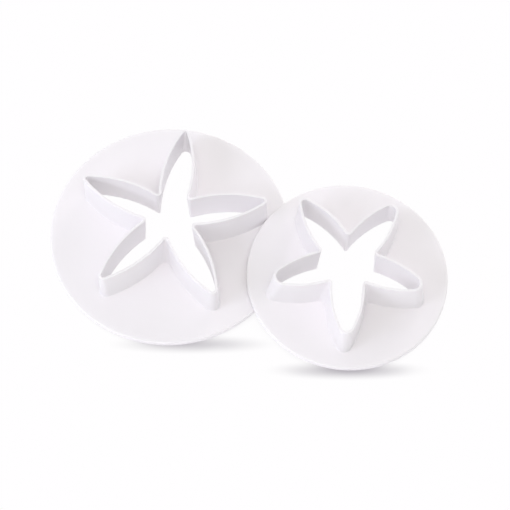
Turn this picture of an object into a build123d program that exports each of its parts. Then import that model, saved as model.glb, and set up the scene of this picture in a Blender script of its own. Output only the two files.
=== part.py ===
from build123d import *
import math
import os

# Two calyx cutters for sugar paste, each one white plastic moulding: a thin round disc with a
# five-petalled opening right through it, and a cutting wall that stands up around the opening.
# Millimetres, +Z up, cutting edges up. The large cutter lies flat, and the small one leans on the
# rim of the large disc. The origin is the centre of the set's footprint on the bench.

# Sizes that both cutters share
petal_count = 5
disc_thickness = 1.5
cutter_height = 12.4
wall_thickness = 0.7
opening_draft = 0.6
rim_round = 0.4
back_rim_round = 0.2
edge_round = 0.15
foot_round = 0.35

# Rounded valleys between the petals: of the opening, and of the wall's outer side
valley_round_at_edge = 1.1
valley_round_at_back = 0.5
outer_valley_round_at_edge = 0.45
outer_valley_round_at_foot = 2.2

# Large cutter. Its petals end in sharp corners inside the disc's rim, and then each tip is rounded
# by its own share. The middle of the petals is a little off the middle of the disc.
large_disc_radius = 35.0
large_corner_to_rim = 6.7
large_valley_radius = 5.8
large_petal_bow = 2.0
large_tip_round_at_edge = 0.6
large_tip_round_shares = (1.0, 0.7, 0.85, 1.1, 1.25)
large_tip_round_at_back = 1.55
large_turn_degrees = 9.8
large_petals_off_centre_x = 0.45
large_petals_off_centre_y = 0.6

# Small cutter
small_disc_radius = 29.2
small_corner_to_rim = 5.4
small_valley_radius = 7.1
small_petal_bow = 1.5
small_tip_round_at_edge = 2.0
small_tip_round_shares = (1.0, 0.9, 0.5, 1.1, 0.85)
small_tip_round_at_back = 1.65
small_turn_degrees = -20.3
small_petals_off_centre_x = -0.6
small_petals_off_centre_y = -0.35

# Where the small cutter leans on the large one
small_direction_degrees = -15.0
rim_to_petal_gap = 0.2
seat_gap = 0.05

petal_angle = 2 * math.pi / petal_count
petal_step_degrees = math.degrees(petal_angle)


class PetalSide:
    """The bowed side of a petal that points along +X: one arc from its tip to its valley."""

    def __init__(self, reach, valley_radius, bow):
        self.tip_ray = Vector(1, 0, 0)
        self.valley_ray = Vector(math.cos(petal_angle / 2), math.sin(petal_angle / 2), 0)
        tip = self.tip_ray * reach
        valley = self.valley_ray * valley_radius
        chord = tip - valley
        self.radius = (chord.length**2 / 4 + bow**2) / (2 * bow)
        inwards = Vector(chord.Y, -chord.X, 0).normalized()
        self.centre = (tip + valley) / 2 + inwards * (self.radius - bow)

    def crossing(self, ray, radius):
        """Where a circle about the arc's centre crosses a ray from the cutter's axis."""
        along = ray.dot(self.centre)
        return ray * (along + math.sqrt(radius**2 - self.centre.length**2 + along**2))

    def on_arc(self, toward, radius):
        """The point at a radius from the arc's centre, in the direction of another point."""
        return self.centre + (toward - self.centre).normalized() * radius


def rounded_tip(side, offset, tip_round):
    """The centre of a petal's rounded tip, and the tip itself."""
    centre = side.crossing(side.tip_ray, side.radius + offset - tip_round)
    return centre, centre + side.tip_ray * tip_round


def across(point):
    """The same point on the other side of a petal that points along +X."""
    return Vector(point.X, -point.Y, 0)


def calyx_outline(side, offset, tip_rounds, valley_round, height):
    """The closed outline at a distance outside the sharp one, with its corners rounded."""
    radius = side.radius + offset
    valley_centre = side.crossing(side.valley_ray, radius + valley_round)
    valley = valley_centre - side.valley_ray * valley_round
    valley_end = side.on_arc(valley_centre, radius)
    next_petal = across(valley_end).rotate(Axis.Z, petal_step_degrees)
    arcs = []
    for index, tip_round in enumerate(tip_rounds):
        tip_centre, tip = rounded_tip(side, offset, tip_round)
        tip_end = side.on_arc(tip_centre, radius)
        middle = side.on_arc((tip_end + valley_end) / 2, radius)
        petal = [
            ThreePointArc(across(valley_end), across(middle), across(tip_end)),
            ThreePointArc(across(tip_end), tip, tip_end),
            ThreePointArc(tip_end, middle, valley_end),
            ThreePointArc(valley_end, valley, next_petal),
        ]
        arcs += [arc.rotate(Axis.Z, petal_step_degrees * index) for arc in petal]
    return Wire(arcs).moved(Pos(0, 0, height))


def calyx_cutter(disc_radius, side, tip_rounds_at_edge, tip_round_at_back, petals_place):
    """One moulding about +Z, with its back face at zero height."""
    disc = Cylinder(disc_radius, disc_thickness, align=(Align.CENTER, Align.CENTER, Align.MIN))
    foot = calyx_outline(
        side,
        opening_draft + wall_thickness,
        [tip_round_at_back + wall_thickness] * petal_count,
        outer_valley_round_at_foot,
        0,
    )
    crest = calyx_outline(
        side,
        wall_thickness,
        [tip_round + wall_thickness for tip_round in tip_rounds_at_edge],
        outer_valley_round_at_edge,
        cutter_height,
    )
    body = disc + Solid.make_loft([foot, crest], ruled=True).moved(petals_place)

    # The wall's foot, the outer side of its cutting edge and the disc's rim are rounded
    front_face = body.faces().filter_by(lambda face: len(face.inner_wires()) == 1)[0]
    body = fillet(front_face.inner_wires()[0].edges(), foot_round)
    body = fillet(body.faces().sort_by(Axis.Z)[-1].edges(), edge_round)
    rim = body.edges().filter_by(GeomType.CIRCLE).sort_by(SortBy.LENGTH)[-2:].sort_by(Axis.Z)
    body = fillet(rim[-1], rim_round)
    rim = body.edges().filter_by(GeomType.CIRCLE).sort_by(Axis.Z)
    body = fillet(rim[0], back_rim_round)

    # The opening runs right through and widens towards the back
    tip_rounds_at_back = [tip_round_at_back] * petal_count
    back = calyx_outline(side, opening_draft, tip_rounds_at_back, valley_round_at_back, 0)
    edge = calyx_outline(side, 0, tip_rounds_at_edge, valley_round_at_edge, cutter_height)
    return body - Solid.make_loft([back, edge], ruled=True).moved(petals_place)


# Large cutter, flat on the bench
large_petal_reach = large_disc_radius - large_corner_to_rim
large_side = PetalSide(large_petal_reach, large_valley_radius, large_petal_bow)
large_tip_rounds = [share * large_tip_round_at_edge for share in large_tip_round_shares]
large_off_centre = Vector(large_petals_off_centre_x, large_petals_off_centre_y, 0)
large_petals = Pos(large_off_centre) * Rot(0, 0, large_turn_degrees)
large = calyx_cutter(
    large_disc_radius, large_side, large_tip_rounds, large_tip_round_at_back, large_petals
)

# Small cutter: its rim passes the nearest petal of the large one with a gap
direction = Vector(1, 0, 0).rotate(Axis.Z, small_direction_degrees)
outer_tip_round = large_tip_round_at_back + wall_thickness
outer_tip_centre = rounded_tip(large_side, opening_draft + wall_thickness, outer_tip_round)[0]
turns = [large_turn_degrees + petal_step_degrees * index for index in range(petal_count)]
tips = [large_off_centre + outer_tip_centre.rotate(Axis.Z, turn) for turn in turns]
nearest_tip = max(tips, key=direction.dot)
tip_along = direction.dot(nearest_tip)
rim_reach = small_disc_radius + rim_to_petal_gap + outer_tip_round
centre_distance = tip_along + math.sqrt(rim_reach**2 - nearest_tip.length**2 + tip_along**2)

# Its back face lies on the rim of the large disc, and the far side of its own rim on the bench
seat_to_far_side = centre_distance - large_disc_radius + rim_round + small_disc_radius - back_rim_round
lean = math.asin((disc_thickness + seat_gap) / seat_to_far_side)
centre_height = (small_disc_radius - back_rim_round) * math.sin(lean)
centre_height += back_rim_round * (1 - math.cos(lean))
small_petal_reach = small_disc_radius - small_corner_to_rim
small_side = PetalSide(small_petal_reach, small_valley_radius, small_petal_bow)
small_tip_rounds = [share * small_tip_round_at_edge for share in small_tip_round_shares]
small_off_centre = Vector(small_petals_off_centre_x, small_petals_off_centre_y, 0)
small_petals = Pos(small_off_centre) * Rot(0, 0, small_turn_degrees)
small = calyx_cutter(
    small_disc_radius, small_side, small_tip_rounds, small_tip_round_at_back, small_petals
)
lean_axis = Axis((0, 0, 0), direction.rotate(Axis.Z, 90))
small = small.rotate(lean_axis, math.degrees(lean))
small = small.moved(Pos(direction * centre_distance + Vector(0, 0, centre_height)))

# The set's footprint is centred on the origin
footprint = Compound([large, small]).bounding_box().center()
to_origin = Pos(-footprint.X, -footprint.Y, 0)

os.makedirs("parts", exist_ok=True)
export_step(large.moved(to_origin), "parts/large_calyx_cutter.step")
export_step(small.moved(to_origin), "parts/small_calyx_cutter.step")

print("lean", round(math.degrees(lean), 3), "degrees, centre distance", round(centre_distance, 3))
print("large cutter centre", (-round(footprint.X, 3), -round(footprint.Y, 3)))
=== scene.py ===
"""Two white calyx cutters for sugar paste, the small one leaning on the disc of the large one.

Both are plain injection mouldings, so their whole look is one satin white plastic: clean broad
tones, soft highlights on the rounded edges, and the faint marks that a mould leaves. They lie on
a white sweep under soft studio light that comes mostly from the left. All lengths are in metres.
"""

import math

import bpy
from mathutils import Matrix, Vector


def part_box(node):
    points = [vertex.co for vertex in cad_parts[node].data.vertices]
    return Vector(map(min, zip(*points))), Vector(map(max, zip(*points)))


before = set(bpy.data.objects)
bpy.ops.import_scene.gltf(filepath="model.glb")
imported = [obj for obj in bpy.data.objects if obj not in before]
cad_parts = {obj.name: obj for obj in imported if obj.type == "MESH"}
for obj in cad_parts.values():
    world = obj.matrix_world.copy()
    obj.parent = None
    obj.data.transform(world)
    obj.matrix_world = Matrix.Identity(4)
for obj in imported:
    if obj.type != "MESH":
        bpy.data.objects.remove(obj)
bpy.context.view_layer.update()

MM = 0.001

# Camera: where the photograph was taken from, and what it frames
FRAME_PIXELS = 510
FOCAL_PIXELS = 2000
CAMERA_SENSOR_MM = 36.0
CAMERA_AZIMUTH_DEGREES = -90
CAMERA_ELEVATION_DEGREES = 64.5
CAMERA_DISTANCE = 584.5 * MM
CAMERA_AIM_FROM_LARGE_CENTRE = Vector((24.9, -6.3, 0)) * MM
CAMERA_CLIP_FACTOR = 100

# Colours, as they look on a screen
LAMP_COOL = "#EEF0FF"
LAMP_NEUTRAL = "#FFFAFE"
LAMP_WARM = "#FFFEF2"
ROOM_WHITE = "#FFFFFF"
BACKGROUND_WHITE = "#FFFEFF"
PLASTIC_WHITE = "#F3F0F3"
PLASTIC_SHADE = "#EFECEF"
SWEEP_WHITE = "#F4F2F5"
# The sweep's painted shadow turns its white towards this violet
PAINTED_SHADOW_VIOLET = "#380048"

# Light: soft lamps that all hang equally far away, in a white room, over a sweep that glows a
# little, a painted light from below where there is no lamp. Each lamp has its azimuth from +X
# towards +Y and its elevation in degrees, how bright it makes a card that faces it, and its
# colour.
LAMP_DISTANCE = 700 * MM
LAMP_SIZE = 280 * MM
LAMPS = (
    ("left_lamp", 180, 22, 0.22, LAMP_COOL),
    ("key_lamp", 210, 35, 0.84, LAMP_COOL),
    ("top_lamp", 270, 75, 0.64, LAMP_WARM),
    ("back_lamp", 60, 15, 0.84, LAMP_NEUTRAL),
)
ROOM_STRENGTH = 0.6
SWEEP_GLOW = 0.27
WHITE_STRENGTH = 1.0

# Plastic: its gloss, and how far red, green and blue light wander below its surface
PLASTIC_IOR = 1.59
PLASTIC_ROUGHNESS = (0.34, 0.46)
SCATTERED_SHARE = 0.6
SCATTER_REACH = 2.0 * MM
SCATTER_SHARES = (1.0, 1.0, 1.0)

# Patterns of the plastic: how wide their features are, how many finer layers they have, and how
# strong each layer is next to the one before
PATTERNS = {
    "clouds": (16 * MM, 2.0, 0.5),
    "waves": (12 * MM, 1.0, 0.5),
    "grain": (0.35 * MM, 3.0, 0.6),
    "scuffs": (5 * MM, 4.0, 0.65),
}
WAVE_DEPTH = 0.12 * MM
GRAIN_DEPTH = 0.004 * MM

# White sweep just below the set, and how far out from a disc's axis its painted shadow is cleared
SWEEP_SIZE = 3.0
SWEEP_DROP = 0.05 * MM
UNDER_DISC_SHARES = (0.88, 0.95)

# How open a place on the sweep is towards the back of the set, within this reach, for its painted
# shadow
SHADOW_REACH = 20 * MM
SHADOW_LEAN = 2.5
SHADOW_SAMPLES = 16

# Painted soft shadow in front of each disc's near edge, where the disc is close to the sweep: how
# far the painted shadow lies to the right of the disc's middle, and how much light it takes
SHADOW_OPENNESS = (0.85, 0.99)
SHADOW_HALF_WIDTH = 26 * MM
SHADOW_HALF_DEPTH = 3.4 * MM
SHADOW_FROM_EDGE = 0.4 * MM
PAINTED_SHADOWS = {
    "large_calyx_cutter": (7 * MM, 0.37),
    "small_calyx_cutter": (0, 0.46),
}

# Faint thin painted shadow along every other edge that faces away from the back of the set
EDGE_SHADOW_OPENNESS = (0.2, 0.55)
EDGE_SHADOW_SHARE = 0.15


def screen_colour(code):
    """An sRGB hex colour as linear red, green, blue and alpha."""
    shares = [int(code[place : place + 2], 16) / 255 for place in (1, 3, 5)]
    linear = [s / 12.92 if s <= 0.04045 else ((s + 0.055) / 1.055) ** 2.4 for s in shares]
    return (*linear, 1.0)


def add_node(tree, kind, inputs=(), **settings):
    """A shader node with its settings; each input is a value or another node's output."""
    node = tree.nodes.new(kind)
    for name, value in settings.items():
        setattr(node, name, value)
    for name, value in dict(inputs).items():
        if isinstance(value, bpy.types.NodeSocket):
            tree.links.new(value, node.inputs[name])
        else:
            node.inputs[name].default_value = value
    return node


def new_material(name):
    material = bpy.data.materials.new(name)
    material.use_nodes = True
    material.node_tree.nodes.clear()
    return material, material.node_tree


def background_rays(tree):
    """1 for the rays that show the background itself, and 0 for the rays that light the set."""
    paths = add_node(tree, "ShaderNodeLightPath").outputs
    shows = paths["Is Camera Ray"]
    for kind in ("Is Glossy Ray", "Is Transmission Ray"):
        shows = add_node(
            tree, "ShaderNodeMath", {0: shows, 1: paths[kind]}, operation="MAXIMUM"
        ).outputs["Value"]
    return shows


def satin_polystyrene():
    """White high-impact polystyrene, injection moulded in a satin mould.

    The resin scatters light just below its surface, which softens the edges of shadows. The mould
    leaves a fine even grain, and the sheet of the disc cools a little wavy, so wide reflections
    swim slightly. Storage in a drawer leaves hair-fine scuffs that show only in the gloss.
    """
    material, tree = new_material("white_moulded_polystyrene")
    place = add_node(tree, "ShaderNodeTexCoord").outputs["Object"]
    patterns = {}
    for name, (size, layers, layer_share) in PATTERNS.items():
        noise = add_node(
            tree,
            "ShaderNodeTexNoise",
            {"Vector": place, "Scale": 1 / size, "Detail": layers, "Roughness": layer_share},
        )
        patterns[name] = noise.outputs["Fac"]

    colour = add_node(
        tree,
        "ShaderNodeMix",
        {
            "Factor": patterns["clouds"],
            "A": screen_colour(PLASTIC_SHADE),
            "B": screen_colour(PLASTIC_WHITE),
        },
        data_type="RGBA",
    )
    wavy = add_node(
        tree,
        "ShaderNodeBump",
        {"Height": patterns["waves"], "Strength": 1.0, "Distance": WAVE_DEPTH},
    )
    grained = add_node(
        tree,
        "ShaderNodeBump",
        {
            "Height": patterns["grain"],
            "Strength": 1.0,
            "Distance": GRAIN_DEPTH,
            "Normal": wavy.outputs["Normal"],
        },
    )
    smoothest, roughest = PLASTIC_ROUGHNESS
    roughness = add_node(
        tree,
        "ShaderNodeMapRange",
        {"Value": patterns["scuffs"], "To Min": smoothest, "To Max": roughest},
    )
    surface = add_node(
        tree,
        "ShaderNodeBsdfPrincipled",
        {
            "Base Color": colour.outputs["Result"],
            "Roughness": roughness.outputs["Result"],
            "IOR": PLASTIC_IOR,
            "Subsurface Weight": SCATTERED_SHARE,
            "Subsurface Radius": SCATTER_SHARES,
            "Subsurface Scale": SCATTER_REACH,
            "Normal": grained.outputs["Normal"],
        },
    )
    add_node(tree, "ShaderNodeOutputMaterial", {"Surface": surface.outputs["BSDF"]})
    return material


def openness_behind(tree, normal):
    """How open the sweep is towards the back of the set, by ambient occlusion: 0 closed, 1 open.
    """
    leaned = add_node(
        tree, "ShaderNodeVectorMath", {0: normal, 1: (0, SHADOW_LEAN, 0)}, operation="ADD"
    )
    behind = add_node(
        tree, "ShaderNodeVectorMath", {0: leaned.outputs["Vector"]}, operation="NORMALIZE"
    )
    openness = add_node(
        tree,
        "ShaderNodeAmbientOcclusion",
        {"Distance": SHADOW_REACH, "Normal": behind.outputs["Vector"]},
        samples=SHADOW_SAMPLES,
    )
    return openness.outputs["AO"]


def shade_where_closed(tree, openness, limits, share):
    """Painted shade: the share of light taken where a place is closed, and none where it is open.
    """
    closed, clear = limits
    shade = add_node(
        tree,
        "ShaderNodeMapRange",
        {
            "Value": openness,
            "From Min": closed,
            "From Max": clear,
            "To Min": share,
            "To Max": 0.0,
        },
        interpolation_type="SMOOTHSTEP",
    )
    return shade.outputs["Result"]


def painted_shadow_place(tree, position, name):
    """Painted shadow: how much light is taken in an oval in front of the near edge of a cutter's
    disc.
    """
    low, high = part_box(name)
    to_right, share = PAINTED_SHADOWS[name]
    middle = ((low.x + high.x) / 2 + to_right, low.y + SHADOW_FROM_EDGE, 0)
    away = add_node(
        tree, "ShaderNodeVectorMath", {0: position, 1: middle}, operation="SUBTRACT"
    )
    spread = (1 / SHADOW_HALF_WIDTH, 1 / SHADOW_HALF_DEPTH, 0)
    scaled = add_node(
        tree, "ShaderNodeVectorMath", {0: away.outputs["Vector"], 1: spread}, operation="MULTIPLY"
    )
    out = add_node(tree, "ShaderNodeVectorMath", {0: scaled.outputs["Vector"]}, operation="LENGTH")
    taken = add_node(
        tree,
        "ShaderNodeMapRange",
        {"Value": out.outputs["Value"], "To Min": share, "To Max": 0.0},
        interpolation_type="SMOOTHSTEP",
    )
    return taken.outputs["Result"]


def outside_disc(tree, position, name):
    """0 on the sweep below the middle of a cutter's disc, and 1 from its rim outwards."""
    low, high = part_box(name)
    radius = (high.y - low.y) / 2
    from_axis = add_node(
        tree,
        "ShaderNodeVectorMath",
        {0: position, 1: ((low.x + high.x) / 2, (low.y + high.y) / 2, 0)},
        operation="DISTANCE",
    )
    inner, outer = UNDER_DISC_SHARES
    outside = add_node(
        tree,
        "ShaderNodeMapRange",
        {
            "Value": from_axis.outputs["Value"],
            "From Min": inner * radius,
            "From Max": outer * radius,
        },
    )
    return outside.outputs["Result"]


def white_card():
    """Matt white PVC sheet of a studio sweep, rolled smooth, so that it shows no grain.

    For the light on the set it glows a little, a painted light from below where there is no lamp.
    To the camera it looks plain white but for painted shadows, which lie in front of the discs'
    edges and along other edges, and what is seen of the sheet through the openings stays white.
    """
    material, tree = new_material("white_sweep_card")
    ground = add_node(tree, "ShaderNodeNewGeometry").outputs
    # Painted shadow, not cast by the lamps: how close the sweep is to the cutters, by ambient
    # occlusion
    openness = openness_behind(tree, ground["Normal"])
    taken = shade_where_closed(tree, openness, EDGE_SHADOW_OPENNESS, EDGE_SHADOW_SHARE)
    close = shade_where_closed(tree, openness, SHADOW_OPENNESS, 1.0)
    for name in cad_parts:
        place = painted_shadow_place(tree, ground["Position"], name)
        taken = add_node(
            tree, "ShaderNodeMath", {0: place, 1: close, 2: taken}, operation="MULTIPLY_ADD"
        ).outputs["Value"]
    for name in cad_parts:
        outside = outside_disc(tree, ground["Position"], name)
        taken = add_node(
            tree, "ShaderNodeMath", {0: taken, 1: outside}, operation="MULTIPLY"
        ).outputs["Value"]
    # Painted shadow: the white that the camera sees is turned towards violet where light is taken
    white_with_painted_shadow = add_node(
        tree,
        "ShaderNodeMix",
        {
            "Factor": taken,
            "A": screen_colour(BACKGROUND_WHITE),
            "B": screen_colour(PAINTED_SHADOW_VIOLET),
        },
        data_type="RGBA",
    )
    bright = add_node(
        tree,
        "ShaderNodeEmission",
        {"Color": white_with_painted_shadow.outputs["Result"], "Strength": WHITE_STRENGTH},
    )

    card = add_node(tree, "ShaderNodeBsdfDiffuse", {"Color": screen_colour(SWEEP_WHITE)})
    # Painted light: the sheet glows a little and lights the set as if from below, where there is
    # no lamp
    painted_glow = add_node(
        tree, "ShaderNodeEmission", {"Color": screen_colour(SWEEP_WHITE), "Strength": SWEEP_GLOW}
    )
    card_with_painted_glow = add_node(
        tree, "ShaderNodeAddShader", {0: card.outputs["BSDF"], 1: painted_glow.outputs["Emission"]}
    )
    shown = add_node(
        tree,
        "ShaderNodeMixShader",
        {
            "Fac": background_rays(tree),
            1: card_with_painted_glow.outputs["Shader"],
            2: bright.outputs["Emission"],
        },
    )
    add_node(tree, "ShaderNodeOutputMaterial", {"Surface": shown.outputs["Shader"]})
    return material


def finish_cutters():
    """Both cutters keep the solids of their mouldings and take the plastic's finish."""
    plastic = satin_polystyrene()
    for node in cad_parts.values():
        node.data.materials.clear()
        node.data.materials.append(plastic)


def lay_sweep():
    bpy.ops.mesh.primitive_plane_add(size=SWEEP_SIZE, location=(0, 0, -SWEEP_DROP))
    sweep = bpy.context.object
    sweep.name = "sweep"
    sweep.data.materials.append(white_card())


def toward(azimuth_degrees, elevation_degrees):
    """A direction away from the set: azimuth from +X towards +Y, then up."""
    azimuth = math.radians(azimuth_degrees)
    elevation = math.radians(elevation_degrees)
    level = math.cos(elevation)
    return Vector((level * math.cos(azimuth), level * math.sin(azimuth), math.sin(elevation)))


def aim(thing, direction):
    """Turns a lamp or camera that stands in a direction from its subject to look back at it."""
    thing.rotation_mode = "QUATERNION"
    thing.rotation_quaternion = (-direction).to_track_quat("-Z", "Y")
    bpy.context.scene.collection.objects.link(thing)


def hang_lamp(name, direction, brightness, colour):
    """A square soft lamp that looks at the middle of the set."""
    lamp = bpy.data.lights.new(name, "AREA")
    lamp.size = LAMP_SIZE
    lamp.energy = brightness * math.pi * LAMP_DISTANCE**2
    lamp.color = screen_colour(colour)[:3]
    holder = bpy.data.objects.new(name, lamp)
    holder.location = direction * LAMP_DISTANCE
    aim(holder, direction)


def paint_room():
    """A white room: it lights the set softly, and the camera sees it as plain white."""
    world = bpy.data.worlds.new("white_room")
    bpy.context.scene.world = world
    world.use_nodes = True
    tree = world.node_tree
    tree.nodes.clear()
    room = add_node(
        tree,
        "ShaderNodeBackground",
        {"Color": screen_colour(ROOM_WHITE), "Strength": ROOM_STRENGTH},
    )
    backdrop = add_node(
        tree,
        "ShaderNodeBackground",
        {"Color": screen_colour(BACKGROUND_WHITE), "Strength": WHITE_STRENGTH},
    )
    mix = add_node(
        tree,
        "ShaderNodeMixShader",
        {
            "Fac": background_rays(tree),
            1: room.outputs["Background"],
            2: backdrop.outputs["Background"],
        },
    )
    add_node(tree, "ShaderNodeOutputWorld", {"Surface": mix.outputs["Shader"]})


def set_camera():
    """The photograph's view: from the front, high above the bench."""
    low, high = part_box("large_calyx_cutter")
    middle = (low + high) / 2
    target = Vector((middle.x, middle.y, 0)) + CAMERA_AIM_FROM_LARGE_CENTRE
    direction = toward(CAMERA_AZIMUTH_DEGREES, CAMERA_ELEVATION_DEGREES)
    data = bpy.data.cameras.new("camera")
    data.sensor_width = CAMERA_SENSOR_MM
    data.lens = FOCAL_PIXELS * CAMERA_SENSOR_MM / FRAME_PIXELS
    data.clip_start = CAMERA_DISTANCE / CAMERA_CLIP_FACTOR
    data.clip_end = CAMERA_DISTANCE * CAMERA_CLIP_FACTOR
    camera = bpy.data.objects.new("camera", data)
    camera.location = target + direction * CAMERA_DISTANCE
    aim(camera, direction)
    bpy.context.scene.camera = camera


set_camera()
finish_cutters()
lay_sweep()
for name, azimuth, elevation, brightness, colour in LAMPS:
    hang_lamp(name, toward(azimuth, elevation), brightness, colour)
paint_room()
bpy.context.scene.view_settings.view_transform = "Standard"
